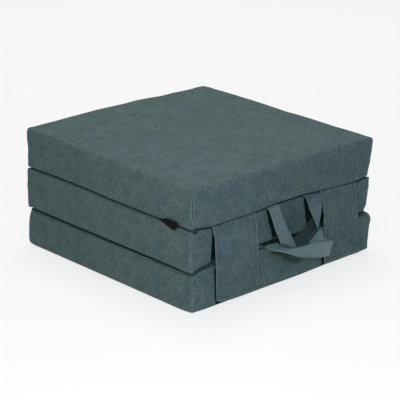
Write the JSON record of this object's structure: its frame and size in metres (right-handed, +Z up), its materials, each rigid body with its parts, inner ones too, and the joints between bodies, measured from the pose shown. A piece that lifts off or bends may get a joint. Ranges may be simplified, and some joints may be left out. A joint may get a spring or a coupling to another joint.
{
  "type": "folding foam mattress",
  "caption": "Foam guest mattress folded up in thirds in a linen-look cover, with cloth hinges, hanging closing bands and ribbon handles.",
  "frame": {"origin": "middle of the flat underside of the folded mattress", "axes": "+Z up, +X along the folds (the mattress's width), -Y out of the face that carries the bands and handles"},
  "size_m": [0.6139, 0.6763, 0.3118],
  "materials": {
    "cover_cloth": "heathered linen-look weave",
    "handle_ribbon": "hemmed ribbon of the cover's weave",
    "label_cloth": "smooth woven tape"
  },
  "bodies": {
    "root": {"pad_top": "cover_cloth", "pad_middle": "cover_cloth", "pad_bottom": "cover_cloth", "hinge_front": "cover_cloth", "hinge_back": "cover_cloth", "band_left": "cover_cloth", "band_right": "cover_cloth", "handle_upper": "handle_ribbon", "handle_lower": "handle_ribbon", "label": "label_cloth"}
  },
  "joints": []
}
